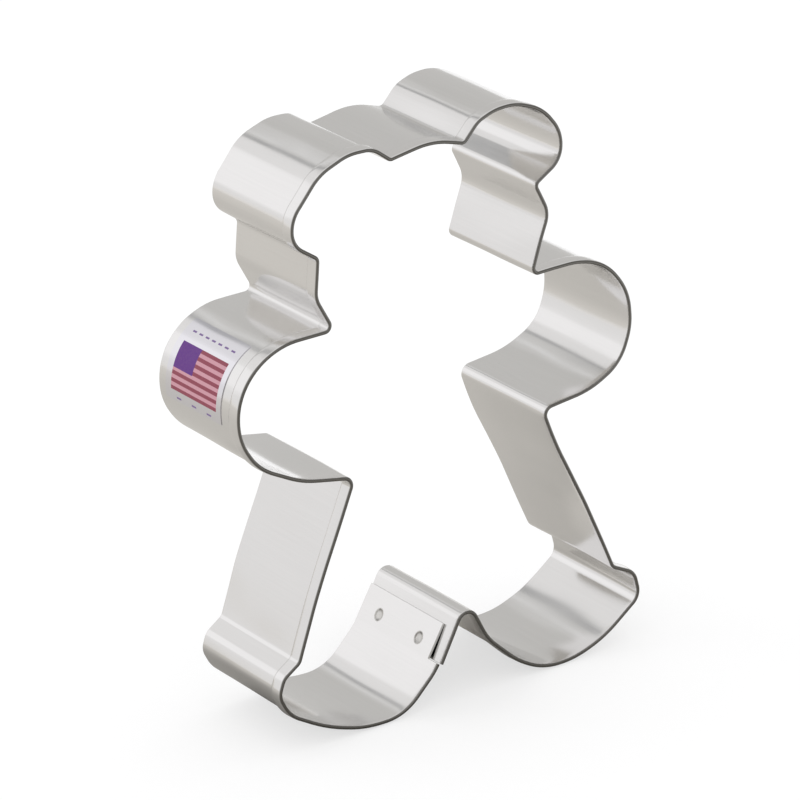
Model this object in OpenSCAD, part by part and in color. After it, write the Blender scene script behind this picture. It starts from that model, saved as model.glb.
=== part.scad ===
// Bear shaped cookie cutter, bent from one strip of tinplate.
// The strip is hemmed along its rim, and its ends lap on the inner side of one leg,
// where two spot welds hold them. A film label is stuck round one arm.
// The bends are worked out flat, with the cutting edge down and the rim up,
// and the finished cutter is then stood on its feet with the rim to the front.

/* [Outline] */
// Width of the outline across the arms
shape_w = 66.8; // [60:0.2:80]
// Height of the outline from the soles to the ears
shape_h = 88; // [82:0.5:110]

/* [Strip] */
// Depth of the finished strip, from rim to cutting edge
strip_depth = 22.5; // [21:0.5:40]
// Thickness of the tinplate
sheet_t = 0.3; // [0.2:0.01:0.4]
// Width of the hem folded back outside the rim
hem_w = 2.4; // [1.2:0.1:4]
// Gap left inside the fold of the hem
hem_gap = 0.06; // [0.02:0.01:0.12]

/* [Bends] */
// Radius of the sharp bends at the ears and the neck
notch_bend_r = 0.8; // [0.7:0.05:1.4]
// Radius of the bends under the arms
armpit_bend_r = 1.2; // [0.8:0.1:2]
// Radius of the bend between the legs
crotch_bend_r = 1.6; // [1:0.1:1.8]
// Radius of the bends above the feet
ankle_bend_r = 1.5; // [0.8:0.1:2.5]
// Radius of the bends at the toes
toe_bend_r = 2.6; // [1.5:0.1:4]
// Radius of the bends behind the soles
heel_bend_r = 10; // [6:0.5:16]
// Radius of the slight bends of the soles
sole_bend_r = 24; // [12:1:40]
// Radius of the slight bends of the legs
leg_bend_r = 60; // [20:5:90]
// Radius of the bends round the arms
arm_bend_r = 10; // [5:0.5:14]
// Radius of the bends at the shoulders
shoulder_bend_r = 16; // [8:0.5:24]
// Radius of the bends of the cheeks
cheek_bend_r = 4; // [2:0.5:8]
// Radius of the bends round the ears
ear_bend_r = 8; // [4:0.5:12]
// Radius of the bend over the crown
crown_bend_r = 20; // [10:1:40]

/* [Lap joint] */
// Length over which the strip's ends lap
lap_len = 5.6; // [4:0.1:6]
// Gap between the layers at the inner end
lap_gap = 0.05; // [0.02:0.01:0.1]
// Gap between the layers where the outer end springs away
lap_spring = 0.3; // [0.1:0.05:0.4]
// Depth of the notch that takes the hem off the inner end
notch_depth = 2.6; // [2.4:0.1:4]

/* [Spot welds] */
// Diameter of a spot weld
weld_d = 2; // [1.2:0.1:3]
// Distance between the two spot welds
weld_pitch = 11; // [6:0.5:14]
// Depth of the dish pressed into each face of a weld
weld_dish = 0.1; // [0.04:0.01:0.15]

/* [Label] */
// Size of the label along the strip's depth
label_w = 15.4; // [8:0.2:15.8]
// Size of the label along the strip's length
label_len = 12.8; // [6:0.2:16]
// Thickness of the label film
label_t = 0.1; // [0.05:0.01:0.2]

/* [Hidden] */

// Smoothness of round cuts
$fn = 48;
// Overrun of every cut past the face that it opens
cut_over = 0.2;
// Most that a bend turns in one flat facet, in degrees, and its fewest facets
facet_turn = 9;
least_facets = 2;
// How far the hem stands out from the wall's outer face
hem_stand = sheet_t + hem_gap;
// Stretch of full strip between the lap and the first bend
lap_margin = 0.2;
// Gap between the outer end and the hem of the inner end
end_gap = 0.15;
// Clearance under the label, filled by its adhesive
label_gap = 0.02;
// Distance from the rim to the label
label_from_rim = 5.1;
// Place of the label's middle, as a share of the strip's length
label_place_share = 0.2975;
// Place of the welds, as a share of the lap's length from the inner end
weld_place_share = 0.64;
// Place between the welds, as a share of the strip's depth from the rim
weld_middle_share = 0.542;
// Flat floor of a weld's dish, as a share of the weld's diameter
dish_floor_share = 0.6;

// Corner points of the bends, as shares of the outline's width and height.
// They run clockwise as seen from the front, from the inner side of the left leg.
left_foot_shares = [[-0.072, 0.059], [-0.153, 0], [-0.249, 0], [-0.353, 0.025],
    [-0.442, 0.067], [-0.464, 0.106], [-0.448, 0.135], [-0.406, 0.155]];
left_foot_bends = [heel_bend_r, heel_bend_r, sole_bend_r, sole_bend_r,
    heel_bend_r, toe_bend_r, toe_bend_r, ankle_bend_r];
left_leg_shares = [[-0.356, 0.248], [-0.231, 0.444]];
left_leg_bends = [leg_bend_r, armpit_bend_r];
left_arm_shares = [[-0.359, 0.466], [-0.461, 0.509], [-0.5, 0.564], [-0.5, 0.616],
    [-0.473, 0.661], [-0.428, 0.692], [-0.368, 0.709], [-0.251, 0.709]];
left_arm_bends = [shoulder_bend_r, arm_bend_r, arm_bend_r, arm_bend_r,
    arm_bend_r, arm_bend_r, shoulder_bend_r, notch_bend_r];
left_head_shares = [[-0.286, 0.768], [-0.272, 0.834], [-0.328, 0.868], [-0.325, 0.911],
    [-0.251, 0.973], [-0.174, 0.994], [-0.114, 0.992], [-0.073, 0.965]];
left_head_bends = [cheek_bend_r, notch_bend_r, cheek_bend_r, ear_bend_r,
    ear_bend_r, ear_bend_r, cheek_bend_r, notch_bend_r];
crown_shares = [[0.033, 0.977], [0.112, 0.958]];
crown_bends = [crown_bend_r, notch_bend_r];
right_head_shares = [[0.15, 0.988], [0.193, 1], [0.246, 1], [0.314, 0.978], [0.358, 0.93],
    [0.352, 0.882], [0.283, 0.852], [0.311, 0.798], [0.256, 0.7]];
right_head_bends = [cheek_bend_r, ear_bend_r, ear_bend_r, ear_bend_r, ear_bend_r,
    cheek_bend_r, notch_bend_r, cheek_bend_r, notch_bend_r];
right_arm_shares = [[0.386, 0.7], [0.452, 0.677], [0.5, 0.623], [0.5, 0.559],
    [0.467, 0.501], [0.38, 0.469], [0.26, 0.459]];
right_arm_bends = [shoulder_bend_r, arm_bend_r, arm_bend_r, arm_bend_r,
    arm_bend_r, shoulder_bend_r, armpit_bend_r];
right_leg_shares = [[0.283, 0.393], [0.347, 0.274], [0.409, 0.142]];
right_leg_bends = [leg_bend_r, leg_bend_r, ankle_bend_r];
right_foot_shares = [[0.464, 0.12], [0.475, 0.074], [0.377, 0.023], [0.287, 0],
    [0.213, 0], [0.147, 0.026], [0.069, 0.088], [0.023, 0.169]];
right_foot_bends = [toe_bend_r, toe_bend_r, sole_bend_r, sole_bend_r,
    heel_bend_r, sole_bend_r, heel_bend_r, crotch_bend_r];

// Corners with their places and bend radii in real sizes
function corners(shares, bends) =
    [for (i = [0:len(shares) - 1]) [shares[i].x * shape_w, shares[i].y * shape_h, bends[i]]];
shape_corners = concat(
    corners(left_foot_shares, left_foot_bends),
    corners(left_leg_shares, left_leg_bends),
    corners(left_arm_shares, left_arm_bends),
    corners(left_head_shares, left_head_bends),
    corners(crown_shares, crown_bends),
    corners(right_head_shares, right_head_bends),
    corners(right_arm_shares, right_arm_bends),
    corners(right_leg_shares, right_leg_bends),
    corners(right_foot_shares, right_foot_bends));
corner_count = len(shape_corners);

// Plane geometry of the corners
function place(p) = [p.x, p.y];
function heading(p, q) = atan2(q.y - p.y, q.x - p.x);
function along(a) = [cos(a), sin(a)];
function outward(a) = [-sin(a), cos(a)];
function half_turn_back(a) = a > 180 ? a - 360 : a < -180 ? a + 360 : a;
function turn_at(p, q, r) = half_turn_back(heading(q, r) - heading(p, q));
// How far a bend reaches from its corner along both sides, at most half of the shorter side
function reach_at(p, q, r) = min(q.z * tan(abs(turn_at(p, q, r)) / 2),
    norm(place(q) - place(p)) / 2, norm(place(r) - place(q)) / 2);

// The side between the legs where the strip's ends lap
crotch = shape_corners[corner_count - 1];
lap_foot = shape_corners[0];
lap_angle = heading(crotch, lap_foot);
lap_bottom = norm(place(lap_foot) - place(crotch)) - lap_margin
    - reach_at(crotch, lap_foot, shape_corners[1]);
lap_top = lap_bottom - lap_len;
// Offset of the outer layer from the side at a distance down from the crotch
function lap_offset(d) = sheet_t + lap_gap + (lap_spring - lap_gap) * (d - lap_top) / lap_len;
function lap_place(d, out) = place(crotch) + d * along(lap_angle) + out * outward(lap_angle);
inner_end = lap_place(lap_top, 0);
outer_end = lap_place(lap_bottom - end_gap, lap_offset(lap_bottom - end_gap));
outer_crotch = lap_place(0, lap_offset(0));

// The strip's corners from its inner end to its outer end
strip_corners = concat(
    [[inner_end.x, inner_end.y, 0]],
    [for (i = [0:corner_count - 2]) shape_corners[i]],
    [[outer_crotch.x, outer_crotch.y, crotch.z]],
    [[outer_end.x, outer_end.y, 0]]);
last_corner = len(strip_corners) - 1;

// Points round the bend at one corner, offset outward from the wall's outer face.
// A bend to the right has its centre inside the cutter, and a notch has it outside.
function bend_points(p, q, r, offset) =
    let (
        angle = heading(p, q),
        turn = turn_at(p, q, r),
        reach = reach_at(p, q, r),
        radius = reach / tan(abs(turn) / 2),
        side = sign(turn),
        centre = place(q) - reach * along(angle) + side * radius * outward(angle),
        facets = max(least_facets, ceil(abs(turn) / facet_turn)))
    [for (i = [0:facets])
        centre - side * (radius - side * offset) * outward(angle + turn * i / facets)];

// The whole strip as a line of points, offset outward from the wall's outer face
function strip_line(offset) = concat(
    [place(strip_corners[0])
        + offset * outward(heading(strip_corners[0], strip_corners[1]))],
    [for (i = [1:last_corner - 1], point = bend_points(strip_corners[i - 1],
        strip_corners[i], strip_corners[i + 1], offset)) point],
    [place(strip_corners[last_corner])
        + offset * outward(heading(strip_corners[last_corner - 1], strip_corners[last_corner]))]);

// Distance along the strip to each point of its line
face_line = strip_line(0);
point_count = len(face_line);
function distances(line) = [for (i = 0, d = 0; i < len(line);
    d = d + (i + 1 < len(line) ? norm(line[i + 1] - line[i]) : 0), i = i + 1) d];
face_distance = distances(face_line);
strip_len = face_distance[point_count - 1];

// The part of an offset line between two distances from the strip's inner end
function steps_before(d) = len([for (far = face_distance) if (far < d) far]) - 1;
function point_at(line, d) =
    let (i = max(0, steps_before(d)),
        f = (d - face_distance[i]) / (face_distance[i + 1] - face_distance[i]))
    line[i] + f * (line[i + 1] - line[i]);
function stretch(line, from, to) = concat(
    [point_at(line, from)],
    [for (i = [0:point_count - 1]) if (face_distance[i] > from && face_distance[i] < to) line[i]],
    [point_at(line, to)]);
function reversed(line) = [for (i = [len(line) - 1:-1:0]) line[i]];

// A layer of the strip in plan, between two offsets and between two distances
module layer_plan(inner, outer, from, to) {
    polygon(concat(
        stretch(strip_line(inner), from, to),
        reversed(stretch(strip_line(outer), from, to))));
}

// A layer of the strip between two heights above the cutting edge
module layer(inner, outer, from, to, bottom, top) {
    translate([0, 0, bottom])
        linear_extrude(height = top - bottom)
            layer_plan(inner, outer, from, to);
}

// Lifts the finished cutter from its cutting edge on to its feet
module stand_up() {
    translate([0, strip_depth / 2, hem_stand])
        rotate([90, 0, 0])
            children();
}

// Sets what stands on the sheet at a place in the lap, its own axis pointing outward
module set_in_lap(d, out, height) {
    spot = lap_place(d, out);
    translate([spot.x, spot.y, height])
        rotate([0, 0, lap_angle + 90])
            rotate([0, 90, 0])
                children();
}

// Places of the two welds in the lap and above the cutting edge
weld_down = lap_top + weld_place_share * lap_len;
weld_middle = strip_depth * (1 - weld_middle_share);
front_weld_height = weld_middle + weld_pitch / 2;
rear_weld_height = weld_middle - weld_pitch / 2;
// Thickness of both layers and the gap between them at the welds
weld_h = sheet_t + lap_offset(weld_down);

module cutter_band() {
    color([0.72, 0.71, 0.69])
        stand_up()
            difference() {
                union() {
                    // Wall, from the cutting edge to the fold
                    layer(-sheet_t, 0, 0, strip_len, 0, strip_depth - sheet_t);
                    // Hem, folded back outside the wall
                    layer(hem_gap, hem_stand, lap_len, strip_len,
                        strip_depth - hem_w, strip_depth - sheet_t);
                    // Fold that joins them at the rim
                    layer(-sheet_t, hem_stand, lap_len, strip_len,
                        strip_depth - sheet_t, strip_depth);
                }
                // Notch that takes the rim off the inner end, clear of the outer layer
                layer(-sheet_t - cut_over, lap_gap / 2, -cut_over, lap_len,
                    strip_depth - notch_depth, strip_depth + cut_over);
                for (height = [front_weld_height, rear_weld_height])
                    set_in_lap(weld_down, -sheet_t - cut_over, height)
                        cylinder(h = weld_h + 2 * cut_over, d = weld_d);
            }
}

// A weld nugget, as thick as both layers and dished on both faces
module spot_weld(height) {
    color([0.52, 0.51, 0.5])
        stand_up()
            set_in_lap(weld_down, -sheet_t, height)
                rotate_extrude()
                    polygon([
                        [0, weld_dish],
                        [weld_d * dish_floor_share / 2, weld_dish],
                        [weld_d / 2, 0],
                        [weld_d / 2, weld_h],
                        [weld_d * dish_floor_share / 2, weld_h - weld_dish],
                        [0, weld_h - weld_dish]]);
}

module front_spot_weld() {
    spot_weld(front_weld_height);
}

module rear_spot_weld() {
    spot_weld(rear_weld_height);
}

module label_film() {
    middle = label_place_share * strip_len;
    color([0.82, 0.8, 0.88])
        stand_up()
            layer(label_gap, label_gap + label_t, middle - label_len / 2, middle + label_len / 2,
                strip_depth - label_from_rim - label_w, strip_depth - label_from_rim);
}

cutter_band();
front_spot_weld();
rear_spot_weld();
label_film();
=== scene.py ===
"""Dresses a bear shaped cookie cutter, bent from hemmed tinplate strip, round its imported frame."""

import math

import bmesh
import bpy
from mathutils import Matrix, Vector, noise


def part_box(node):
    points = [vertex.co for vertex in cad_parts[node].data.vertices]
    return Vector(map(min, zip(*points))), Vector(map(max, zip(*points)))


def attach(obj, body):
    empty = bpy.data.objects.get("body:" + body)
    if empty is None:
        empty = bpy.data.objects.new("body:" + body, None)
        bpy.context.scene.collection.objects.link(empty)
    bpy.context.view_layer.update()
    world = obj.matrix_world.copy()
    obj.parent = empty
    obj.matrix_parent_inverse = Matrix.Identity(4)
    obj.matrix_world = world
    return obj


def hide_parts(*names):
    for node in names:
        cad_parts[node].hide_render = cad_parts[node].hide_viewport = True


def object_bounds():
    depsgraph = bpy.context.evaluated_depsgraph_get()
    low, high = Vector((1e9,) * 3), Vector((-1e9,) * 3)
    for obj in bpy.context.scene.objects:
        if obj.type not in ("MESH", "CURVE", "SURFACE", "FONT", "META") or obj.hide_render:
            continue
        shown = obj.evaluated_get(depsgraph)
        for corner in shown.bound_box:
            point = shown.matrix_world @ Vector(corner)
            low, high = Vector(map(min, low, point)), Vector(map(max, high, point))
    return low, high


bl_info = {
    "name": "Tinplate Cookie Cutter",
    "version": (1, 0, 0),
    "blender": (4, 5, 0),
    "location": "View3D > Sidebar > Cutter",
    "description": "Bends a hemmed tinplate cookie cutter, sticks on its label and lights it",
    "category": "Add Mesh",
}

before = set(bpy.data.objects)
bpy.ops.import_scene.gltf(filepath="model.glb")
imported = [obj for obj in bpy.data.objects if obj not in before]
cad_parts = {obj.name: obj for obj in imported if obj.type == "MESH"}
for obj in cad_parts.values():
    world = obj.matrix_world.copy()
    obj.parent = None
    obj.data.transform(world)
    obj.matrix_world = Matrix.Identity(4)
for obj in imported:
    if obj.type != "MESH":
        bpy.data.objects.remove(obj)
CAD_LOW, CAD_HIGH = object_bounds()
MM = 0.001
WELD_NODES = ("front_spot_weld", "rear_spot_weld")
# Shorter lengths count as nothing
NO_LENGTH = 1e-7
# Part of a step that is let go when a length is cut into equal steps
STEP_SLACK = 1e-6

# Weld holes: how much smaller their radius is, and the drill's length in sheets
HOLE_SHORT = 0.03 * MM
DRILL_SHEETS = 6
# Cut edges: how far they are eased, in how many steps and from what angle, and the mesh row beside them
EDGE_EASE = 0.05 * MM
EASE_STEPS = 2
EASE_FROM = math.radians(60)
EDGE_ROW = 0.12 * MM
# Edges that turn by more stay crisp
CRISP_STRIP = math.radians(35)
CRISP_WELD = math.radians(50)
# Mesh rows on the wall's last stretch, round the fold and over the hem, and the hem's highest place
FOLD_ROWS = 3
FOLD_STEPS = 10
HEM_STEPS = 16
HEM_CREST = 0.74
# Waves that bending leaves in the wall: length along and across the strip, slice of the noise that shapes
# them, how much they lean inward, and the length over which they fade towards the lap
WAVE_ALONG = 9.0 * MM
WAVE_ACROSS = 12.0 * MM
WAVE_SLICE = 0.5
WAVE_INWARD = 0.35
WAVE_FADE = 5.0 * MM
WELD_SIDES = 40
# Face of a weld from its middle outward: shares of its radius, of its dish and of its pushed up lip
DISH_SHARES = (
    (0.0, -0.9, 0.0),
    (0.25, -0.93, 0.0),
    (0.5, -1.0, 0.0),
    (0.66, -0.9, 0.0),
    (0.8, -0.45, 0.0),
    (0.9, 0.0, 0.0),
    (0.98, 0.0, 1.0),
    (1.05, 0.0, 0.6),
    (1.09, 0.0, -1.0),
)

# Noise over the strip: wavelengths along and across it, and detail
STREAKS = (0.35 * MM, 18 * MM, 4.0)
SMUDGES = (9 * MM, 14 * MM, 2.0)
SCRATCHES = (0.06 * MM, 7 * MM, 2.0)
# The middle of a noise's range, which is spread out where the noise drives a value
NOISE_MIDDLE = (0.3, 0.7)
STREAK_SHADES = (0.965, 1.025)
STREAK_ROUGH = 0.06
SMUDGE_ROUGH = (-0.02, 0.05)
# Depths from the rim between which the fold's painted shade, a dark reflection painted into its colour,
# fades into plain tin
FOLD_SHADE_FADE = (0.08 * MM, 0.22 * MM)
# Each bump: strength and height
SCRATCH_BUMP = (0.06, 0.01 * MM)
WELD_BUMP = (0.3, 0.02 * MM)
EDGE_GRAIN = 0.4 * MM
EDGE_SHADE = 0.8
EDGE_ROUGH = 0.38
WELD_GRAIN = (0.5 * MM, 4.0)
WELD_SHADE = 0.4
WELD_ROUGH = (0.24, 0.4)
# Shares of a weld's radius where its burnt wall starts and is full, and where its lip starts and ends
BURNT_SHARES = (0.45, 0.8)
LIP_SHARES = (0.9, 1.0)
# The ring is burnt most at the weld's ends: where that starts and is full, and how much is burnt elsewhere
BURNT_ENDS = (0.6, 0.95)
BURNT_SIDES = 0.06
BURNT_PATCHES = (0.35, 0.6, 0.35)
INK_GRAIN = 0.25 * MM
INK_WEAR = 0.07
FILM_SHINE = 0.2
FILM_EDGE_ROUGH = 0.4
DASH_H = 0.3 * MM
# Each row of dashes: height over the print's foot, number, and part of each cell that is inked
DASH_ROWS = ((9.0 * MM, 7, 0.55), (-1.2 * MM, 3, 0.3))

LIT_MIDDLE = Vector((0.0, 0.0, 0.045))
# Each soft box: name, place, way of its long side, length, height and glow over the room
SOFT_BOXES = (
    ("left_halo", (-0.48, 0.69, 0.345), (0.53, 0.0, 0.848), 1.47, 1.1, 0.07),
    ("left_outer", (-0.48, 0.68, 0.34), (0.524, 0.0, 0.852), 1.16, 0.95, 0.12),
    ("left_box", (-0.48, 0.67, 0.33), (0.51, 0.0, 0.86), 0.98, 0.8, 0.11),
    ("left_inner", (-0.48, 0.66, 0.39), (0.584, 0.0, 0.812), 0.42, 0.7, 0.08),
    ("left_core", (-0.48, 0.65, 0.4), (0.595, 0.0, 0.804), 0.34, 0.6, 0.09),
    ("top_box", (0.2, 0.3, 0.95), (1.0, 0.0, 0.0), 1.6, 0.8, 0.34),
    ("front_box", (-0.2, -0.75, 0.6), (1.0, 0.0, 0.0), 0.9, 0.5, 0.4),
)
LAMP_TINT = (0.985, 0.985, 1.03)
# Each card that only the metal sees: name, turn about the depth axis in degrees, width and brightness
CARDS = (
    ("dark_gap", 91.0, 0.075, 0.48),
    ("light_line", 80.0, 0.03, 0.9),
)
CARD_LEAN = math.radians(40)
CARD_FAR = 0.9
CARD_LONG = 0.5
# The floor as the metal mirrors it, painted with light and shade: X at which it turns white with painted
# light, reach at which its painted shade turns lighter, and by how much, then each spot of painted shadow
# or painted light with its place, its inner and outer reach and its gain
LIT_FLOOR = (0.05, 0.095)
FAR_FLOOR = (0.12, 0.35)
FAR_GAIN = 1.12
PAINTED_FLOOR_SPOTS = (
    ((-0.026, 0.01, 0.0), 0.012, 0.055, 0.6),
    ((0.007, 0.01, 0.0), 0.007, 0.018, 1.8),
)
WHITE = (1.0, 1.0, 1.0)
CAMERA_REACH = (0.01, 20.0)

# Corner points of the bends, as shares of the outline's width and height, each with the name of its
# radius. They run clockwise as seen from the front, from the inner side of the left leg.
OUTLINE_SHARES = (
    # Left foot
    (-0.072, 0.059, "heel_r"),
    (-0.153, 0.0, "heel_r"),
    (-0.249, 0.0, "sole_r"),
    (-0.353, 0.025, "sole_r"),
    (-0.442, 0.067, "heel_r"),
    (-0.464, 0.106, "toe_r"),
    (-0.448, 0.135, "toe_r"),
    (-0.406, 0.155, "ankle_r"),
    # Left leg
    (-0.356, 0.248, "leg_r"),
    (-0.231, 0.444, "armpit_r"),
    # Left arm
    (-0.359, 0.466, "shoulder_r"),
    (-0.461, 0.509, "arm_r"),
    (-0.5, 0.564, "arm_r"),
    (-0.5, 0.616, "arm_r"),
    (-0.473, 0.661, "arm_r"),
    (-0.428, 0.692, "arm_r"),
    (-0.368, 0.709, "shoulder_r"),
    (-0.251, 0.709, "notch_r"),
    # Left head
    (-0.286, 0.768, "cheek_r"),
    (-0.272, 0.834, "notch_r"),
    (-0.328, 0.868, "cheek_r"),
    (-0.325, 0.911, "ear_r"),
    (-0.251, 0.973, "ear_r"),
    (-0.174, 0.994, "ear_r"),
    (-0.114, 0.992, "cheek_r"),
    (-0.073, 0.965, "notch_r"),
    # Crown
    (0.033, 0.977, "crown_r"),
    (0.112, 0.958, "notch_r"),
    # Right head
    (0.15, 0.988, "cheek_r"),
    (0.193, 1.0, "ear_r"),
    (0.246, 1.0, "ear_r"),
    (0.314, 0.978, "ear_r"),
    (0.358, 0.93, "ear_r"),
    (0.352, 0.882, "cheek_r"),
    (0.283, 0.852, "notch_r"),
    (0.311, 0.798, "cheek_r"),
    (0.256, 0.7, "notch_r"),
    # Right arm
    (0.386, 0.7, "shoulder_r"),
    (0.452, 0.677, "arm_r"),
    (0.5, 0.623, "arm_r"),
    (0.5, 0.559, "arm_r"),
    (0.467, 0.501, "arm_r"),
    (0.38, 0.469, "shoulder_r"),
    (0.26, 0.459, "armpit_r"),
    # Right leg
    (0.283, 0.393, "leg_r"),
    (0.347, 0.274, "leg_r"),
    (0.409, 0.142, "ankle_r"),
    # Right foot
    (0.464, 0.12, "toe_r"),
    (0.475, 0.074, "toe_r"),
    (0.377, 0.023, "sole_r"),
    (0.287, 0.0, "sole_r"),
    (0.213, 0.0, "heel_r"),
    (0.147, 0.026, "sole_r"),
    (0.069, 0.088, "heel_r"),
    (0.023, 0.169, "crotch_r"),
)


def length(name, text, mm):
    """A property that holds a length, with its default in millimetres."""
    return bpy.props.FloatProperty(
        name=name, description=text, default=mm * MM, min=0.0, unit="LENGTH", precision=5
    )


def colour(name, text, default):
    """A property that holds a linear colour."""
    return bpy.props.FloatVectorProperty(
        name=name, description=text, default=default, subtype="COLOR", size=3, min=0.0, max=1.0
    )


def share(name, text, default, top=1.0):
    """A property that holds a plain number."""
    return bpy.props.FloatProperty(name=name, description=text, default=default, min=0.0, max=top)


def angle(name, text, degrees):
    """A property that holds an angle."""
    return bpy.props.FloatProperty(
        name=name, description=text, default=math.radians(degrees), subtype="ANGLE"
    )


class StripSettings(bpy.types.PropertyGroup):
    """Sizes of the tinplate strip, its hem and its lap"""

    sheet_t: length("Sheet thickness", "Thickness of the tinplate", 0.3)
    hem_w: length("Hem width", "Width of the hem folded back outside the rim", 2.4)
    hem_gap: length("Hem gap", "Gap under the crown of the hem", 0.06)
    hem_crown: length("Hem crown", "How far the hem bulges over its fold", 0.055)
    hem_press: length("Hem press", "How far the hem's raw edge is pressed down", 0.065)
    lap_len: length("Lap length", "Length over which the strip's ends lap", 5.6)
    lap_gap: length("Lap gap", "Gap between the layers at the inner end", 0.05)
    lap_spring: length("Lap spring", "Gap where the outer end springs away", 0.3)
    lap_margin: length("Lap margin", "Full strip between the lap and the first bend", 0.2)
    end_gap: length("End gap", "Gap between the outer end and the inner end's hem", 0.15)
    notch_depth: length("Notch depth", "Depth of the notch in the inner end", 2.6)
    weld_d: length("Weld diameter", "Diameter of a spot weld", 2.0)
    weld_pitch: length("Weld pitch", "Distance between the spot welds", 11.0)
    weld_dish: length("Weld dish", "Depth of the dish in each face of a weld", 0.1)
    weld_lip: length("Weld lip", "Height of the metal pushed up round a weld", 0.01)
    weld_place: share("Weld place", "Place of the welds down the lap", 0.64)
    wave: length("Waves", "How far bending leaves the wall out of true", 0.14)
    row_step: length("Row step", "Longest mesh row across the strip", 2.4)
    run_step: length("Run step", "Longest mesh step along a straight run", 1.5)
    bend_step: length("Bend step", "Longest mesh step round a bend", 0.8)
    bend_turn: angle("Bend turn", "Most that one mesh step turns", 3.0)


class BendSettings(bpy.types.PropertyGroup):
    """Radii of the bends"""

    notch_r: length("Notch bends", "Sharp bends at the ears and the neck", 0.8)
    armpit_r: length("Armpit bends", "Bends under the arms", 1.2)
    crotch_r: length("Crotch bend", "Bend between the legs", 1.6)
    ankle_r: length("Ankle bends", "Bends above the feet", 1.5)
    toe_r: length("Toe bends", "Bends at the toes", 2.6)
    heel_r: length("Heel bends", "Bends behind the soles", 10.0)
    sole_r: length("Sole bends", "Slight bends of the soles", 24.0)
    leg_r: length("Leg bends", "Slight bends of the legs", 60.0)
    arm_r: length("Arm bends", "Bends round the arms", 10.0)
    shoulder_r: length("Shoulder bends", "Bends at the shoulders", 16.0)
    cheek_r: length("Cheek bends", "Bends of the cheeks", 4.0)
    ear_r: length("Ear bends", "Bends round the ears", 8.0)
    crown_r: length("Crown bend", "Bend over the crown", 20.0)


class LabelSettings(bpy.types.PropertyGroup):
    """Size, place and print of the film label"""

    width: length("Width", "Size along the strip's depth", 15.4)
    height: length("Height", "Size along the strip's run", 12.8)
    thickness: length("Thickness", "Thickness of the film", 0.1)
    lift: length("Lift", "Adhesive under the film", 0.02)
    from_rim: length("From the rim", "Distance from the rim", 5.1)
    place: share("Place", "Place of its middle along the strip", 0.2975)
    print_side: length("Print side", "Bare film between the print and the edge near the rim", 1.2)
    print_foot: length("Print foot", "Bare film below the print", 1.65)
    print_w: length("Print width", "Width of the print along the depth", 12.65)
    print_h: length("Print height", "Height of the print along the run", 7.3)
    block_w: length("Block width", "Width of the solid block", 5.35)
    block_h: length("Block height", "Height of the solid block", 4.05)
    stripes: share("Stripes", "Stripes, dark and pale together", 13.0, 40.0)
    film: colour("Film", "Colour of the tin that shows through bare film", (0.735, 0.727, 0.765))
    film_rough: share("Film roughness", "Roughness where the film is bare", 0.14)
    print_rough: share("Print roughness", "Roughness where the film is printed", 0.3)
    edge_veil: share("Edge veil", "How much the film's cut edge hides", 0.2)
    dash_ink: share("Dash ink", "Strength of the ink in the dashes", 0.85)
    block: colour("Block", "Colour of the solid block", (0.095, 0.02, 0.2))
    stripe: colour("Stripe", "Colour of the dark stripes", (0.235, 0.045, 0.072))
    pale: colour("Pale stripe", "Colour between the dark stripes", (0.54, 0.275, 0.325))


class FinishSettings(bpy.types.PropertyGroup):
    """Colours and roughness of the metal"""

    tin: colour("Tin", "Colour of the tinplate", (0.757, 0.75, 0.745))
    # The fold's colour is painted shade: a dark reflection painted into the tin at the fold's nose
    fold: colour("Fold", "Colour of the strained tin on the fold", (0.15, 0.145, 0.135))
    edge: colour("Cut edge", "Colour of the bare cut edges", (0.78, 0.77, 0.75))
    weld: colour("Weld", "Colour of the pressed welds", (0.62, 0.61, 0.59))
    rough: share("Roughness", "Roughness of the tinplate", 0.11)


class StudioSettings(bpy.types.PropertyGroup):
    """Camera, floor and lights"""

    target: bpy.props.FloatVectorProperty(
        name="Target",
        description="Point on the rim's plane at the middle of the view",
        default=(-6.79 * MM, -11.25 * MM, 49.22 * MM),
        subtype="TRANSLATION",
        size=3,
    )
    distance: length("Distance", "Distance from the camera to the target", 864.33)
    azimuth: angle("Azimuth", "Camera's turn from the front", -30.3115)
    elevation: angle("Elevation", "Camera's height above the floor", 21.7981)
    roll: angle("Roll", "Camera's roll", -4.9237)
    lens: share("Lens", "Focal length in millimetres", 271.5, 1000.0)
    floor_size: length("Floor", "Side of the floor", 6000.0)
    floor: colour("Floor colour", "Colour of the floor", (0.95, 0.95, 0.95))
    floor_seen: share("Floor glow", "Even white in the floor as the camera sees it", 0.65)
    sky_fill: share("Sky fill", "Strength of the sky on rough surfaces", 1.0, 10.0)
    room: colour("Room", "Soft grey room that the metal mirrors", (0.64, 0.632, 0.616))
    # Painted shade: the floor that the metal mirrors close by is darker, standing in for the cutter's
    # shadow on it
    near_floor_painted_shade: colour("Near floor", "Floor that the metal mirrors close by", (0.56, 0.541, 0.505))


def step_count(whole, longest):
    """How many equal steps no longer than the longest make up a whole."""
    return max(1, math.ceil(whole / longest - STEP_SLACK))


def half_turn_back(turn):
    """An angle brought to within half a turn of nought."""
    return (turn + math.pi) % (2 * math.pi) - math.pi


def facing_matrix(side, back, place):
    """Turns local X and Z into two ways, and puts the origin at a place."""
    turned = Matrix((side, back.cross(side), back)).transposed()
    return Matrix.Translation(place) @ turned.to_4x4()


def laid_matrix(first, third, place, depth):
    """Turns local X and Z into two ways in the outline's plane, and puts the origin at a place there."""
    x_row = (first.x, 0.0, third.x, place.x)
    z_row = (first.y, 0.0, third.y, place.y)
    return Matrix((x_row, (0.0, 1.0, 0.0, depth), z_row, (0.0, 0.0, 0.0, 1.0)))


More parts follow.
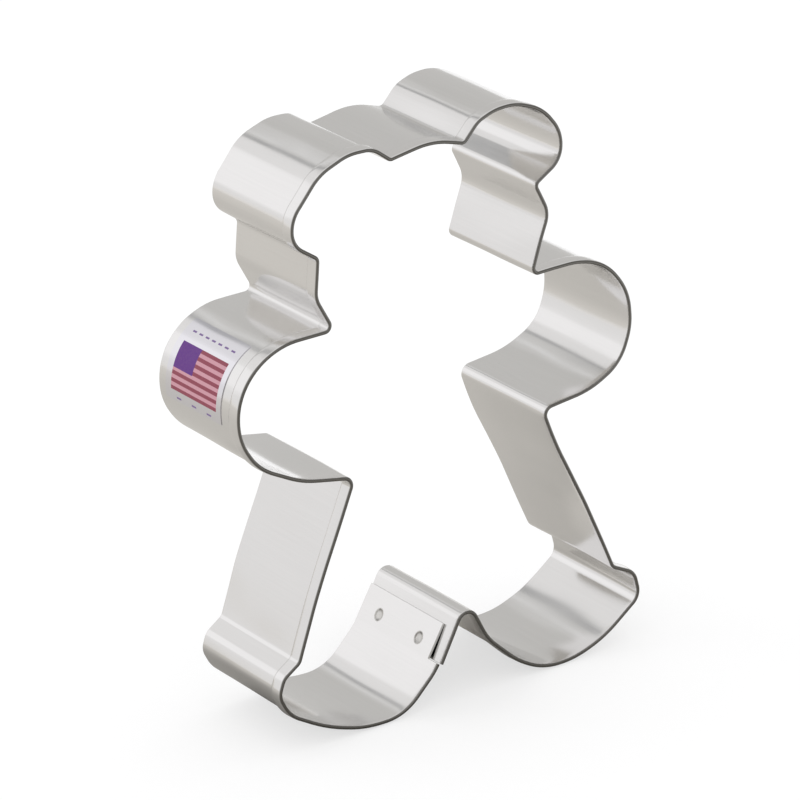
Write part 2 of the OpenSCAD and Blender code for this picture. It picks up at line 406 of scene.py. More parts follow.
class StripPath:
    """The line of the wall's outer face, in the plane of X and Z, from the inner end to the outer."""

    def __init__(self, scene):
        self.strip = scene.cutter_strip
        bends = scene.cutter_bends
        hem_stand = self.strip.sheet_t + self.strip.hem_gap
        box = CAD_HIGH - CAD_LOW
        self.shape_w = box.x - 2 * hem_stand
        self.shape_h = box.z - 2 * hem_stand
        self.rim_y = CAD_LOW.y
        self.depth = box.y
        self.foot_z = CAD_LOW.z + hem_stand
        corners = [self.corner(x, z, getattr(bends, name)) for x, z, name in OUTLINE_SHARES]
        self.set_lap(corners)
        over_crotch = (self.lap_point(0.0, self.lap_offset(0.0)), corners[-1][1])
        self.corners = [(self.inner_end, 0.0), *corners[:-1], over_crotch, (self.outer_end, 0.0)]
        self.pieces = list(self.runs_and_bends())
        self.total = sum(piece["run"] for piece in self.pieces)

    def corner(self, x_share, z_share, radius):
        """A corner point in metres, with the radius of its bend."""
        return Vector((x_share * self.shape_w, self.foot_z + z_share * self.shape_h)), radius

    def reach(self, before, here, after):
        """How far a bend reaches from its corner along both sides, and how far it turns."""
        arriving = here[0] - before[0]
        leaving = after[0] - here[0]
        turn = math.atan2(leaving.y, leaving.x) - math.atan2(arriving.y, arriving.x)
        turn = half_turn_back(turn)
        room = min(arriving.length, leaving.length) / 2
        return min(here[1] * math.tan(abs(turn) / 2), room), turn

    def set_lap(self, corners):
        """Finds the straight side between the legs where the strip's ends lap."""
        strip = self.strip
        self.crotch = corners[-1][0]
        side = corners[0][0] - self.crotch
        self.lap_way = side.normalized()
        self.lap_out = Vector((-self.lap_way.y, self.lap_way.x))
        reach, _ = self.reach(corners[-1], corners[0], corners[1])
        self.lap_bottom = side.length - strip.lap_margin - reach
        self.lap_top = self.lap_bottom - strip.lap_len
        last = self.lap_bottom - strip.end_gap
        self.weld_down = self.lap_top + strip.weld_place * strip.lap_len
        self.weld_h = strip.sheet_t + self.lap_offset(self.weld_down)
        self.inner_end = self.lap_point(self.lap_top, 0.0)
        self.outer_end = self.lap_point(last, self.lap_offset(last))

    def lap_offset(self, down):
        """Offset of the outer layer at a distance down from the crotch."""
        strip = self.strip
        opening = (strip.lap_spring - strip.lap_gap) * (down - self.lap_top) / strip.lap_len
        return strip.sheet_t + strip.lap_gap + opening

    def lap_point(self, down, out):
        """A point at a distance down the lap's side and out from it."""
        return self.crotch + down * self.lap_way + out * self.lap_out

    def weld_matrix(self, name):
        """Puts a nugget, turned about Z, through both layers of the lap."""
        low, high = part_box(name)
        spot = self.lap_point(self.weld_down, self.weld_h / 2 - self.strip.sheet_t)
        return laid_matrix(self.lap_way, self.lap_out, spot, (low[1] + high[1]) / 2)

    def runs_and_bends(self):
        """Straight runs and bends in order, each with its length along the wall's face."""
        corners = self.corners
        place = corners[0][0]
        for before, here, after in zip(corners, corners[1:], corners[2:]):
            reach, turn = self.reach(before, here, after)
            way = (here[0] - before[0]).normalized()
            start = here[0] - reach * way
            if (start - place).length > NO_LENGTH:
                yield {"kind": "run", "run": (start - place).length, "way": way}
            radius = reach / math.tan(abs(turn) / 2)
            centre = start + math.copysign(radius, turn) * Vector((-way.y, way.x))
            yield {"kind": "bend", "run": radius * abs(turn), "centre": centre, "turn": turn}
            place = here[0] + reach * (after[0] - here[0]).normalized()
        end = corners[-1][0]
        way = (end - corners[-2][0]).normalized()
        yield {"kind": "run", "run": (end - place).length, "way": way}

    def outward(self, distance):
        """The way that the wall's outer face looks, at a distance along the strip."""
        for piece in self.pieces:
            part = min(distance, piece["run"])
            if piece["kind"] == "run":
                way = piece["way"]
            else:
                way = Matrix.Rotation(piece["turn"] * part / piece["run"], 2) @ way
            distance -= part
            if distance <= 0.0:
                break
        return Vector((-way.y, 0.0, way.x))

    def bend_waves(self, bm):
        """Moves a swept face slightly out of true, as bending leaves it, but not where it laps."""
        come = bm.verts.layers.float["come"]
        ways = {}
        for vert in bm.verts:
            along = vert[come]
            to_lap = min(along, self.total - along) - self.strip.lap_len
            fade = min(max(to_lap / WAVE_FADE, 0.0), 1.0)
            if along not in ways:
                ways[along] = self.outward(along)
            swell = noise.noise((along / WAVE_ALONG, vert.co.y / WAVE_ACROSS, WAVE_SLICE))
            vert.co += fade * (swell - WAVE_INWARD) * self.strip.wave * ways[along]

    def parts(self, start, end):
        """The runs and bends between two distances, each with how much of it lies there."""
        passed = 0.0
        for piece in self.pieces:
            low = max(start, passed)
            high = min(end, passed + piece["run"])
            passed += piece["run"]
            if high - low > NO_LENGTH:
                yield piece, high - low

    def start_matrix(self):
        """Puts a profile, drawn with its offset along X, at the strip's inner end."""
        way = self.pieces[0]["way"]
        return laid_matrix(Vector((-way.y, way.x)), way, self.inner_end, 0.0)


class Sweeper:
    """Pulls a row of edges along the strip's path and remembers how far each point has come."""

    def __init__(self, bm, path, edges, travelled=0.0):
        self.bm = bm
        self.path = path
        self.edges = edges
        self.come = bm.verts.layers.float.get("come") or bm.verts.layers.float.new("come")
        self.travelled = travelled
        self.tag({vert for edge in edges for vert in edge.verts})

    def tag(self, verts):
        """Notes on each point how far it has come."""
        for vert in verts:
            vert[self.come] = self.travelled

    def carry(self, end):
        """Moves the row along the path without growing any face."""
        verts = list({vert for edge in self.edges for vert in edge.verts})
        for piece, part in self.path.parts(0.0, end):
            if piece["kind"] == "run":
                way = Vector((piece["way"].x, 0.0, piece["way"].y))
                bmesh.ops.translate(self.bm, verts=verts, vec=way * part)
            else:
                turn = Matrix.Rotation(-piece["turn"] * part / piece["run"], 3, "Y")
                hub = (piece["centre"].x, 0.0, piece["centre"].y)
                bmesh.ops.rotate(self.bm, verts=verts, cent=hub, matrix=turn)
        self.travelled = end
        self.tag(verts)

    def straight(self, way, run):
        """Grows one step along a straight run."""
        grown = bmesh.ops.extrude_edge_only(self.bm, edges=self.edges)["geom"]
        verts = self.step_on(grown, run)
        bmesh.ops.translate(self.bm, verts=verts, vec=Vector((way.x, 0.0, way.y)) * run)

    def bend(self, centre, turn, run):
        """Grows one step round a bend."""
        hub = (centre.x, 0.0, centre.y)
        grown = bmesh.ops.spin(
            self.bm, geom=self.edges, cent=hub, axis=(0.0, -1.0, 0.0), angle=turn, steps=1
        )
        self.step_on(grown["geom_last"], run)

    def step_on(self, grown, run):
        """Takes the edges whose points are all new as the row for the next step."""
        verts = [item for item in grown if isinstance(item, bmesh.types.BMVert)]
        edges = [item for item in grown if isinstance(item, bmesh.types.BMEdge)]
        fresh = set(verts)
        self.edges = [edge for edge in edges if fresh.issuperset(edge.verts)]
        self.travelled += run
        self.tag(verts)
        return verts

    def sweep(self, start, end):
        """Sweeps the row from one distance along the path to another."""
        strip = self.path.strip
        for piece, part in self.path.parts(start, end):
            if piece["kind"] == "run":
                steps = step_count(part, strip.run_step)
                for _ in range(steps):
                    self.straight(piece["way"], part / steps)
            else:
                turn = piece["turn"] * part / piece["run"]
                by_turn = step_count(abs(turn), strip.bend_turn)
                steps = max(step_count(part, strip.bend_step), by_turn)
                for _ in range(steps):
                    self.bend(piece["centre"], turn / steps, part / steps)

    def sweep_between_cuts(self, start, end):
        """Sweeps with a narrow step beside each cut end, which keeps the wall's shading flat."""
        self.sweep(start, start + EDGE_ROW)
        self.sweep(start + EDGE_ROW, end - EDGE_ROW)
        self.sweep(end - EDGE_ROW, end)


def grow_row(bm, vert, moves):
    """Extrudes a chain of edges from a point by a list of moves and returns its edges."""
    edges = []
    for move in moves:
        grown = bmesh.ops.extrude_vert_indiv(bm, verts=[vert])
        vert = grown["verts"][0]
        vert.co += Vector(move)
        edges.extend(grown["edges"])
    return edges, vert


def new_piece(bm, name):
    """Makes a linked object from a bmesh and frees the bmesh."""
    mesh = bpy.data.meshes.new(name)
    bm.to_mesh(mesh)
    bm.free()
    piece = bpy.data.objects.new(name, mesh)
    bpy.context.scene.collection.objects.link(piece)
    return piece


def modify(piece, kind, **settings):
    """Adds a modifier with its settings to a piece and applies it."""
    modifier = piece.modifiers.new(kind, kind)
    for name, value in settings.items():
        setattr(modifier, name, value)
    bpy.context.view_layer.objects.active = piece
    bpy.ops.object.modifier_apply(modifier=modifier.name)


def thicken(piece, thickness, even):
    """Gives a swept face its thickness, with the second material on the cut edges."""
    size = {"thickness": thickness, "offset": 0.0, "use_even_offset": even}
    modify(piece, "SOLIDIFY", material_offset_rim=1, **size)


def shade(piece, sharpest):
    """Shades a piece smooth, with edges sharper than an angle left crisp."""
    bm = bmesh.new()
    bm.from_mesh(piece.data)
    for face in bm.faces:
        face.smooth = True
    for edge in bm.edges:
        edge.smooth = edge.is_manifold and edge.calc_face_angle(0.0) < sharpest
    bm.to_mesh(piece.data)
    bm.free()


def add_strip_map(piece, rim_y):
    """Gives a swept piece a UV map: distance along the strip, and depth from the rim."""
    bm = bmesh.new()
    bm.from_mesh(piece.data)
    come = bm.verts.layers.float["come"]
    uv = bm.loops.layers.uv.new("strip")
    for face in bm.faces:
        for loop in face.loops:
            loop[uv].uv = (loop.vert[come], loop.vert.co.y - rim_y)
    bm.to_mesh(piece.data)
    bm.free()


class NodeMaker:
    """Adds, fills and links shader nodes with short calls."""

    def __init__(self, material):
        self.tree = material.node_tree
        self.tree.nodes.clear()

    def add(self, kind, **settings):
        """A new node, named without the words that all shader nodes start with."""
        node = self.tree.nodes.new("ShaderNode" + kind)
        for name, value in settings.items():
            setattr(node, name, value)
        return node

    def fill(self, sockets, values):
        """Gives each socket its value: the output to link to it, or its own constant."""
        for socket, value in zip(sockets, values):
            if isinstance(value, bpy.types.NodeSocket):
                self.tree.links.new(value, socket)
            elif socket.type == "RGBA":
                socket.default_value = (*value[:3], 1.0)
            else:
                socket.default_value = value

    def fill_named(self, node, **values):
        """Fills the sockets that are named, with an underscore for each space."""
        self.fill([node.inputs[name.replace("_", " ")] for name in values], values.values())
        return node

    def math(self, operation, *values):
        """One step of arithmetic on values that are numbers or sockets."""
        node = self.add("Math", operation=operation)
        self.fill(node.inputs, values)
        return node.outputs[0]

    def mix(self, factor, first, second):
        """Mixes two colours by a value."""
        node = self.add("Mix", data_type="RGBA")
        self.fill((node.inputs[0], *node.inputs[6:8]), (factor, first, second))
        return node.outputs[2]

    def spread(self, value, low, high, to_low, to_high):
        """Maps a value's range to another, clamped."""
        node = self.add("MapRange")
        self.fill(node.inputs, (value, low, high, to_low, to_high))
        return node.outputs[0]

    def reach(self, place, middle=(0.0, 0.0, 0.0)):
        """Distance of a place from a middle."""
        node = self.add("VectorMath", operation="DISTANCE")
        self.fill(node.inputs, (place, middle))
        return node.outputs["Value"]

    def rays(self):
        """Two values: 1 for camera rays, and 1 for glossy or transmitted rays."""
        path = self.add("LightPath").outputs
        mirrored = self.math("MAXIMUM", path["Is Glossy Ray"], path["Is Transmission Ray"])
        return path["Is Camera Ray"], mirrored

    def inside(self, value, low, high):
        """1 where a value lies between two limits."""
        over = self.math("GREATER_THAN", value, low)
        return self.math("MULTIPLY", over, self.math("LESS_THAN", value, high))

    def box(self, first, first_low, first_high, second, second_low, second_high):
        """1 in a rectangle of two values."""
        across = self.inside(first, first_low, first_high)
        return self.math("MULTIPLY", across, self.inside(second, second_low, second_high))

    def dashes(self, label, up, side):
        """Short plain dashes above and below the print."""
        rows = []
        for foot, count, fill in DASH_ROWS:
            pitch = label.print_w / count
            cell = self.math("FRACT", self.math("DIVIDE", side, pitch))
            marks = self.inside(cell, 0.5 - fill / 2, 0.5 + fill / 2)
            band = self.box(up, foot, foot + DASH_H, side, 0.0, label.print_w)
            rows.append(self.math("MULTIPLY", marks, band))
        return self.math("MAXIMUM", *rows)

    def noise(self, place, scale, detail):
        """Plain noise at a place."""
        node = self.fill_named(self.add("TexNoise"), Vector=place, Scale=scale, Detail=detail)
        return node.outputs["Fac"]

    def strip_noise(self, along, across, detail):
        """Noise stretched over the strip's own map: wavelengths along and across it, in metres."""
        uv = self.add("UVMap", uv_map="strip").outputs[0]
        scale = (1.0 / along, 1.0 / across, 1.0)
        mapping = self.fill_named(self.add("Mapping"), Vector=uv, Scale=scale)
        return self.noise(mapping.outputs[0], 1.0, detail)

    def grain(self, size, detail=2.0):
        """Even noise of a size in metres that sits still on the piece."""
        return self.noise(self.add("TexCoord").outputs["Object"], 1.0 / size, detail)

    def strip_place(self):
        """Distance along the strip and depth from the rim, from the strip's own map."""
        uv = self.add("UVMap", uv_map="strip").outputs[0]
        return self.fill_named(self.add("SeparateXYZ"), Vector=uv).outputs[:2]

    def bump(self, height, strength, distance):
        """A normal tilted by a height."""
        node = self.add("Bump")
        return self.fill_named(node, Height=height, Strength=strength, Distance=distance).outputs[0]

    def glow(self, level):
        """Light of a colour, given off by the surface itself."""
        return self.fill_named(self.add("Emission"), Color=level).outputs[0]

    def finish(self, surface, kind="OutputMaterial"):
        """Makes a shader the surface of the material, or of the world."""
        self.fill_named(self.add(kind), Surface=surface)

    def surface(self, **values):
        """A Principled surface whose constants sit on its own sockets."""
        self.finish(self.fill_named(self.add("BsdfPrincipled"), **values).outputs[0])


def scaled(colour_in, gain):
    """A colour made darker or lighter."""
    return tuple(gain * part for part in colour_in)


def new_material(name):
    """An empty node material, and the maker of its nodes."""
    material = bpy.data.materials.new(name)
    material.use_nodes = True
    return material, NodeMaker(material)


def tinplate_material(finish):
    """Satin tinplate: faint drawn streaks across the strip, soft smudges, and painted shade on the fold.
    """
    material, nodes = new_material("satin_tinplate")
    streaks = nodes.strip_noise(*STREAKS)
    smudges = nodes.strip_noise(*SMUDGES)
    scratches = nodes.strip_noise(*SCRATCHES)
    _, depth = nodes.strip_place()
    # Painted shade: the fold's dark reflection is painted into the colour, fading out with depth from the
    # rim
    fold_painted_shade = nodes.spread(depth, *FOLD_SHADE_FADE, 1.0, 0.0)
    low, high = STREAK_SHADES
    tint = nodes.mix(streaks, scaled(finish.tin, low), scaled(finish.tin, high))
    base = nodes.mix(fold_painted_shade, tint, finish.fold)
    smoother, rougher = (finish.rough + part for part in SMUDGE_ROUGH)
    rough_smudge = nodes.spread(smudges, *NOISE_MIDDLE, smoother, rougher)
    rough_streak = nodes.math("MULTIPLY", streaks, STREAK_ROUGH)
    rough = nodes.math("ADD", rough_smudge, rough_streak)
    bump = nodes.bump(scratches, *SCRATCH_BUMP)
    nodes.surface(Base_Color=base, Metallic=1.0, Roughness=rough, Normal=bump)
    return material


def edge_material(finish):
    """Bare sheared steel of the cut edges."""
    material, nodes = new_material("cut_edge")
    tint = nodes.mix(nodes.grain(EDGE_GRAIN), scaled(finish.edge, EDGE_SHADE), finish.edge)
    nodes.surface(Base_Color=tint, Metallic=1.0, Roughness=EDGE_ROUGH)
    return material


def weld_material(finish):
    """Pressed weld metal: light in the middle of the dish, burnt darker round its wall."""
    material, nodes = new_material("weld_metal")
    pit = nodes.add("Attribute", attribute_name="pit").outputs["Fac"]
    ends = nodes.add("Attribute", attribute_name="ends").outputs["Fac"]
    grain = nodes.grain(*WELD_GRAIN)
    wall = nodes.spread(pit, *BURNT_SHARES, 0.0, 1.0)
    lip = nodes.spread(pit, *LIP_SHARES, 1.0, 0.0)
    ring = nodes.math("MULTIPLY", wall, lip)
    ring = nodes.math("MULTIPLY", ring, nodes.spread(ends, *BURNT_ENDS, BURNT_SIDES, 1.0))
    burnt = nodes.math("MULTIPLY", ring, nodes.spread(grain, *BURNT_PATCHES, 1.0))
    base = nodes.mix(burnt, finish.weld, scaled(finish.weld, WELD_SHADE))
    rough = nodes.spread(grain, *NOISE_MIDDLE, *WELD_ROUGH)
    bump = nodes.bump(grain, *WELD_BUMP)
    nodes.surface(Base_Color=base, Metallic=1.0, Roughness=rough, Normal=bump)
    return material


def film_material(label, end):
    """Clear film that takes the look of the tin under it, with a plain print of stripes and dashes."""
    material, nodes = new_material("printed_film")
    along, depth = nodes.strip_place()
    up = nodes.math("SUBTRACT", along, end - label.height + label.print_foot)
    side = nodes.math("SUBTRACT", depth, label.from_rim + label.print_side)
    wide, high = label.print_w, label.print_h
    printed = nodes.box(side, 0.0, wide, up, 0.0, high)
    count = nodes.math("FLOOR", nodes.math("DIVIDE", up, high / label.stripes))
    odd = nodes.math("MODULO", count, 2.0)
    in_block = nodes.box(side, wide - label.block_w, wide, up, high - label.block_h, high)
    worn = nodes.spread(nodes.grain(INK_GRAIN), *NOISE_MIDDLE, 0.0, INK_WEAR)
    stripes = nodes.mix(odd, label.stripe, label.pale)
    picture = nodes.mix(in_block, stripes, label.block)
    picture = nodes.mix(worn, picture, label.pale)
    unmarked = nodes.mix(printed, label.film, picture)
    dashes = nodes.math("MULTIPLY", nodes.dashes(label, up, side), label.dash_ink)
    base = nodes.mix(dashes, unmarked, label.block)
    inked = nodes.math("MAXIMUM", printed, dashes)
    bare = nodes.math("SUBTRACT", 1.0, inked)
    rough = nodes.spread(inked, 0.0, 1.0, label.film_rough, label.print_rough)
    nodes.surface(Base_Color=base, Metallic=bare, Roughness=rough, Specular_IOR_Level=FILM_SHINE)
    return material


def film_edge_material(label):
    """The cut edge of the film, which shows as a fine grey line."""
    material, nodes = new_material("film_edge")
    nodes.surface(Base_Color=label.film, Roughness=FILM_EDGE_ROUGH, Alpha=label.edge_veil)
    return material


class CUTTER_OT_band(bpy.types.Operator):
    """Sweep the hemmed strip round the outline, with its notched lap and weld holes"""

    bl_idname = "cutter.band"
    bl_label = "Strip"

    def execute(self, context):
        path = StripPath(context.scene)
        strip = path.strip
        finish = context.scene.cutter_finish
        bm = bmesh.new()
        notch_y = path.rim_y + strip.notch_depth
        back = path.rim_y + path.depth
        first = bm.verts.new((-strip.sheet_t / 2, back, 0.0))
        inside = back - notch_y - 2 * EDGE_ROW
        rows = step_count(inside, strip.row_step)
        steps = [EDGE_ROW] + [inside / rows] * rows + [EDGE_ROW]
        tongue, _ = grow_row(bm, first, [(0.0, -step, 0.0) for step in steps])
        bmesh.ops.transform(bm, matrix=path.start_matrix(), verts=bm.verts)
        sweeper = Sweeper(bm, path, tongue)
        sweeper.sweep_between_cuts(0.0, strip.lap_len)
        ring = {v for edge in sweeper.edges for v in edge.verts}
        corner = min(ring, key=lambda v: v.co.y)
        hem = self.grow_hem(bm, corner, path)
        full = Sweeper(bm, path, sweeper.edges + hem, strip.lap_len)
        full.sweep_between_cuts(strip.lap_len, path.total)
        path.bend_waves(bm)
        piece = new_piece(bm, "hemmed_strip")
        thicken(piece, strip.sheet_t, True)
        add_strip_map(piece, path.rim_y)
        self.ease_edges(piece)
        self.punch(piece, path)
        shade(piece, CRISP_STRIP)
        piece.data.materials.append(tinplate_material(finish))
        piece.data.materials.append(edge_material(finish))
        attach(piece, "root")
        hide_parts("cutter_band")
        return {"FINISHED"}

    def grow_hem(self, bm, corner, path):
        """Carries the row on over the rim: the wall's last stretch, the fold and the hem."""
        strip = path.strip
        half = strip.sheet_t / 2
        crest = strip.hem_gap + half
        foot = crest - strip.hem_crown
        radius = (foot + half) / 2
        fold_y = path.rim_y + radius + half
        rise = corner.co.y - fold_y
        edges, last = grow_row(bm, corner, [(0.0, -rise / FOLD_ROWS, 0.0)] * FOLD_ROWS)
        spot = path.lap_point(path.lap_bottom, (foot - half) / 2)
        hub = Vector((spot.x, fold_y, spot.y))
        axis = -Vector((path.lap_way.x, 0.0, path.lap_way.y))
        step = Matrix.Rotation(math.pi / FOLD_STEPS, 3, axis)
        for _ in range(FOLD_STEPS):
            grown = bmesh.ops.extrude_vert_indiv(bm, verts=[last])
            edges.extend(grown["edges"])
            last = grown["verts"][0]
            bmesh.ops.rotate(bm, verts=[last], cent=hub, matrix=step)
        width = path.rim_y + strip.hem_w - fold_y
        out = Vector((path.lap_out.x, 0.0, path.lap_out.y))
        moves = []
        for i in range(HEM_STEPS):
            lift = self.hem_lift(strip, (i + 1) / HEM_STEPS) - self.hem_lift(strip, i / HEM_STEPS)
            moves.append((lift * out.x, width / HEM_STEPS, lift * out.z))
        hem, _ = grow_row(bm, last, moves)
        return edges + hem

    def hem_lift(self, strip, part):
        """Height of the hem over its foot, at a part of its width from the fold."""
        if part < HEM_CREST:
            return strip.hem_crown * (1 - (1 - part / HEM_CREST) ** 2)
        return strip.hem_crown - strip.hem_press * ((part - HEM_CREST) / (1 - HEM_CREST)) ** 2

    def ease_edges(self, piece):
        """Takes the sharpness off the cut edges."""
        limit = {"limit_method": "ANGLE", "angle_limit": EASE_FROM}
        modify(piece, "BEVEL", width=EDGE_EASE, segments=EASE_STEPS, **limit)

    def punch(self, piece, path):
        """Cuts the round holes that the weld nuggets fill."""
        radius = path.strip.weld_d / 2 - HOLE_SHORT
        depth = DRILL_SHEETS * path.strip.sheet_t
        for name in WELD_NODES:
            bm = bmesh.new()
            bmesh.ops.create_cone(
                bm, cap_ends=True, segments=WELD_SIDES, radius1=radius, radius2=radius, depth=depth
            )
            bmesh.ops.transform(bm, matrix=path.weld_matrix(name), verts=bm.verts)
            drill = new_piece(bm, "drill")
            modify(piece, "BOOLEAN", operation="DIFFERENCE", solver="EXACT", object=drill)
            bpy.data.objects.remove(drill)


class CUTTER_OT_welds(bpy.types.Operator):
    """Set the two spot welds, each dished on both faces, in the lap"""

    bl_idname = "cutter.welds"
    bl_label = "Spot welds"

    def execute(self, context):
        path = StripPath(context.scene)
        material = weld_material(context.scene.cutter_finish)
        for name in WELD_NODES:
            piece = self.nugget(name, path)
            piece.data.materials.append(material)
            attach(piece, "root")
            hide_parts(name)
        return {"FINISHED"}

    def nugget(self, name, path):
        """Turns the nugget's profile: a dish, its pushed up lip and the barrel in the hole."""
        strip = path.strip
        radius = strip.weld_d / 2
        face = path.weld_h / 2
        profile = []
        for out, deep, lip in DISH_SHARES:
            profile.append((out * radius, face + deep * strip.weld_dish + lip * strip.weld_lip))
        profile += [(out, -high) for out, high in reversed(profile)]
        bm = bmesh.new()
        last = bm.verts.new((profile[0][0], 0.0, profile[0][1]))
        moves = [
            (after[0] - before[0], 0.0, after[1] - before[1])
            for before, after in zip(profile, profile[1:])
        ]
        edges, _ = grow_row(bm, last, moves)
        round_z = {"axis": (0.0, 0.0, 1.0), "angle": 2 * math.pi, "steps": WELD_SIDES}
        bmesh.ops.spin(bm, geom=edges, cent=(0.0, 0.0, 0.0), use_merge=True, **round_z)
        bmesh.ops.remove_doubles(bm, verts=bm.verts, dist=NO_LENGTH)
        bmesh.ops.recalc_face_normals(bm, faces=bm.faces)
        pit = bm.verts.layers.float.new("pit")
        ends = bm.verts.layers.float.new("ends")
        for vert in bm.verts:
            out = vert.co.xy.length
            vert[pit] = out / radius
            vert[ends] = abs(vert.co.x) / max(out, NO_LENGTH)
        bmesh.ops.transform(bm, matrix=path.weld_matrix(name), verts=bm.verts)
        piece = new_piece(bm, name + "_nugget")
        shade(piece, CRISP_WELD)
        return piece


class CUTTER_OT_label(bpy.types.Operator):
    """Stick the printed film label round the arm"""

    bl_idname = "cutter.label"
    bl_label = "Label"

    def execute(self, context):
        path = StripPath(context.scene)
        label = context.scene.cutter_label
        middle = label.place * path.total
        start = middle - label.height / 2
        end = middle + label.height / 2
        bm = bmesh.new()
        offset = label.lift + label.thickness / 2
        first = bm.verts.new((offset, path.rim_y + label.from_rim + label.width, 0.0))
        rows = step_count(label.width, path.strip.row_step)
        row, _ = grow_row(bm, first, [(0.0, -label.width / rows, 0.0)] * rows)
        bmesh.ops.transform(bm, matrix=path.start_matrix(), verts=bm.verts)
        sweeper = Sweeper(bm, path, row)
        sweeper.carry(start)
        sweeper.sweep(start, end)
        path.bend_waves(bm)
        piece = new_piece(bm, "film_label")
        thicken(piece, label.thickness, False)
        add_strip_map(piece, path.rim_y)
        shade(piece, CRISP_STRIP)
        piece.data.materials.append(film_material(label, end))
        piece.data.materials.append(film_edge_material(label))
        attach(piece, "root")
        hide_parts("label_film")
        return {"FINISHED"}


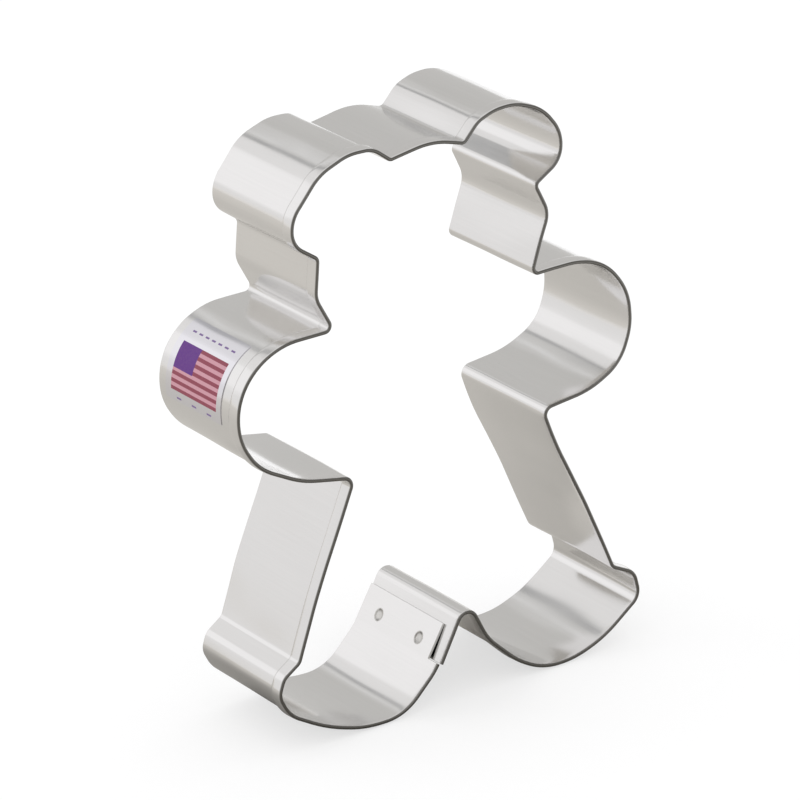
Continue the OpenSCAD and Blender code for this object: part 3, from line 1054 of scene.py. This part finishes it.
class CUTTER_OT_stage(bpy.types.Operator):
    """Lay the floor, hang the lights and set the camera"""

    bl_idname = "cutter.stage"
    bl_label = "Studio"

    def execute(self, context):
        studio = context.scene.cutter_studio
        self.add_floor(studio)
        self.set_sky(context, studio)
        self.add_camera(context, studio)
        self.add_lights()
        context.scene.view_settings.view_transform = "Standard"
        return {"FINISHED"}

    def add_floor(self, studio):
        """A plain pale floor. The metal mirrors it with painted shade near the cutter, a painted shadow
        under the left toe, and painted light between the legs and to the right.
        """
        bm = bmesh.new()
        bmesh.ops.create_grid(bm, x_segments=1, y_segments=1, size=studio.floor_size / 2)
        floor = new_piece(bm, "floor")
        material, nodes = new_material("pale_floor")
        seen, mirrored = nodes.rays()
        place = nodes.add("TexCoord").outputs["Object"]
        across = nodes.fill_named(nodes.add("SeparateXYZ"), Vector=place).outputs[0]
        # Painted light: in the metal the floor turns white to the right of the cutter, and its painted
        # shade lightens further away
        painted_lit_side = nodes.spread(across, *LIT_FLOOR, 0.0, 1.0)
        far = nodes.spread(nodes.reach(place), *FAR_FLOOR, 0.0, 1.0)
        plain = nodes.mix(far, studio.near_floor_painted_shade, scaled(studio.near_floor_painted_shade, FAR_GAIN))
        # Painted shadow under the left toe and painted light between the legs, as tones of the floor in
        # the metal
        for spot, inner, outer, gain in PAINTED_FLOOR_SPOTS:
            level = nodes.spread(nodes.reach(place, spot), inner, outer, gain, 1.0)
            painted_spot_tone = nodes.add("VectorMath", operation="SCALE")
            nodes.fill((painted_spot_tone.inputs[0], painted_spot_tone.inputs["Scale"]), (plain, level))
            plain = painted_spot_tone.outputs[0]
        painted_mirrored_floor = nodes.mix(painted_lit_side, plain, WHITE)
        shown = nodes.mix(mirrored, studio.floor, painted_mirrored_floor)
        diffuse = nodes.fill_named(nodes.add("BsdfDiffuse"), Color=shown).outputs[0]
        both = nodes.add("MixShader")
        even = nodes.math("MULTIPLY", seen, studio.floor_seen)
        nodes.fill(both.inputs, (even, diffuse, nodes.glow(WHITE)))
        nodes.finish(both.outputs[0])
        floor.data.materials.append(material)

    def set_sky(self, context, studio):
        """White for the camera, an even sky on rough surfaces and a soft grey room in the metal."""
        world = bpy.data.worlds.new("white_room")
        world.use_nodes = True
        nodes = NodeMaker(world)
        seen, mirrored = nodes.rays()
        shown = nodes.mix(seen, scaled(WHITE, studio.sky_fill), WHITE)
        light = nodes.mix(mirrored, shown, studio.room)
        sky = nodes.fill_named(nodes.add("Background"), Color=light)
        nodes.finish(sky.outputs[0], "OutputWorld")
        context.scene.world = world

    def add_camera(self, context, studio):
        """A long lens at the photograph's angle, turned by its roll."""
        around, up = studio.azimuth, studio.elevation
        flat = math.cos(up)
        back = Vector((math.sin(around) * flat, -math.cos(around) * flat, math.sin(up)))
        right = Vector((0.0, 0.0, 1.0)).cross(back).normalized()
        above = back.cross(right)
        rolled = right * math.cos(studio.roll) + above * math.sin(studio.roll)
        camera = bpy.data.objects.new("camera", bpy.data.cameras.new("camera"))
        camera.data.lens = studio.lens
        camera.data.clip_start, camera.data.clip_end = CAMERA_REACH
        place = Vector(studio.target) + studio.distance * back
        camera.matrix_world = facing_matrix(rolled, back, place)
        context.scene.collection.objects.link(camera)
        context.scene.camera = camera

    def add_lights(self):
        """The soft boxes, and the cards that only the metal sees."""
        for name, place, along, wide, high, glow in SOFT_BOXES:
            self.add_soft_box(name, Vector(place), Vector(along), wide, high, glow)
        for name, turn, wide, level in CARDS:
            self.add_card(name, math.radians(turn), wide, level)

    def add_card(self, name, turn, wide, level):
        """A narrow card behind the cutter that only the metal sees."""
        reach = math.sin(CARD_LEAN)
        way = Vector((reach * math.cos(turn), math.cos(CARD_LEAN), reach * math.sin(turn)))
        side = way.cross((0.0, 1.0, 0.0)).normalized()
        bm = bmesh.new()
        bmesh.ops.create_grid(bm, x_segments=1, y_segments=1, size=0.5)
        bmesh.ops.scale(bm, verts=bm.verts, vec=(wide, CARD_LONG, 1.0))
        hung = facing_matrix(side, way, LIT_MIDDLE + CARD_FAR * way)
        bmesh.ops.transform(bm, matrix=hung, verts=bm.verts)
        card = new_piece(bm, name)
        card.visible_camera = False
        card.visible_diffuse = False
        card.visible_shadow = False
        material, nodes = new_material(name)
        nodes.finish(nodes.glow(scaled(WHITE, level)))
        card.data.materials.append(material)

    def add_soft_box(self, name, place, along, wide, high, glow):
        """A soft box that faces the cutter and glows brighter than the white room by a part."""
        data = bpy.data.lights.new(name, "AREA")
        data.shape = "RECTANGLE"
        data.size = wide
        data.size_y = high
        data.energy = glow * math.pi * wide * high
        data.color = LAMP_TINT
        light = bpy.data.objects.new(name, data)
        back = (place - LIT_MIDDLE).normalized()
        up = back.cross(along).normalized()
        light.matrix_world = facing_matrix(up.cross(back), back, place)
        light.visible_camera = False
        bpy.context.scene.collection.objects.link(light)


class CUTTER_PT_panel(bpy.types.Panel):
    """Lists the cutter's pieces in the sidebar"""

    bl_label = "Cookie cutter"
    bl_space_type = "VIEW_3D"
    bl_region_type = "UI"
    bl_category = "Cutter"

    def draw(self, context):
        for step in STEPS:
            self.layout.operator(step.bl_idname)


GROUPS = {
    "cutter_strip": StripSettings,
    "cutter_bends": BendSettings,
    "cutter_label": LabelSettings,
    "cutter_finish": FinishSettings,
    "cutter_studio": StudioSettings,
}
STEPS = (CUTTER_OT_band, CUTTER_OT_welds, CUTTER_OT_label, CUTTER_OT_stage)


def register():
    for cls in (*GROUPS.values(), *STEPS, CUTTER_PT_panel):
        bpy.utils.register_class(cls)
    for name, group in GROUPS.items():
        setattr(bpy.types.Scene, name, bpy.props.PointerProperty(type=group))


def unregister():
    for name in GROUPS:
        delattr(bpy.types.Scene, name)
    for cls in reversed((*GROUPS.values(), *STEPS, CUTTER_PT_panel)):
        bpy.utils.unregister_class(cls)


def main():
    register()
    bpy.ops.cutter.band()
    bpy.ops.cutter.welds()
    bpy.ops.cutter.label()
    bpy.ops.cutter.stage()


if __name__ == "__main__":
    main()
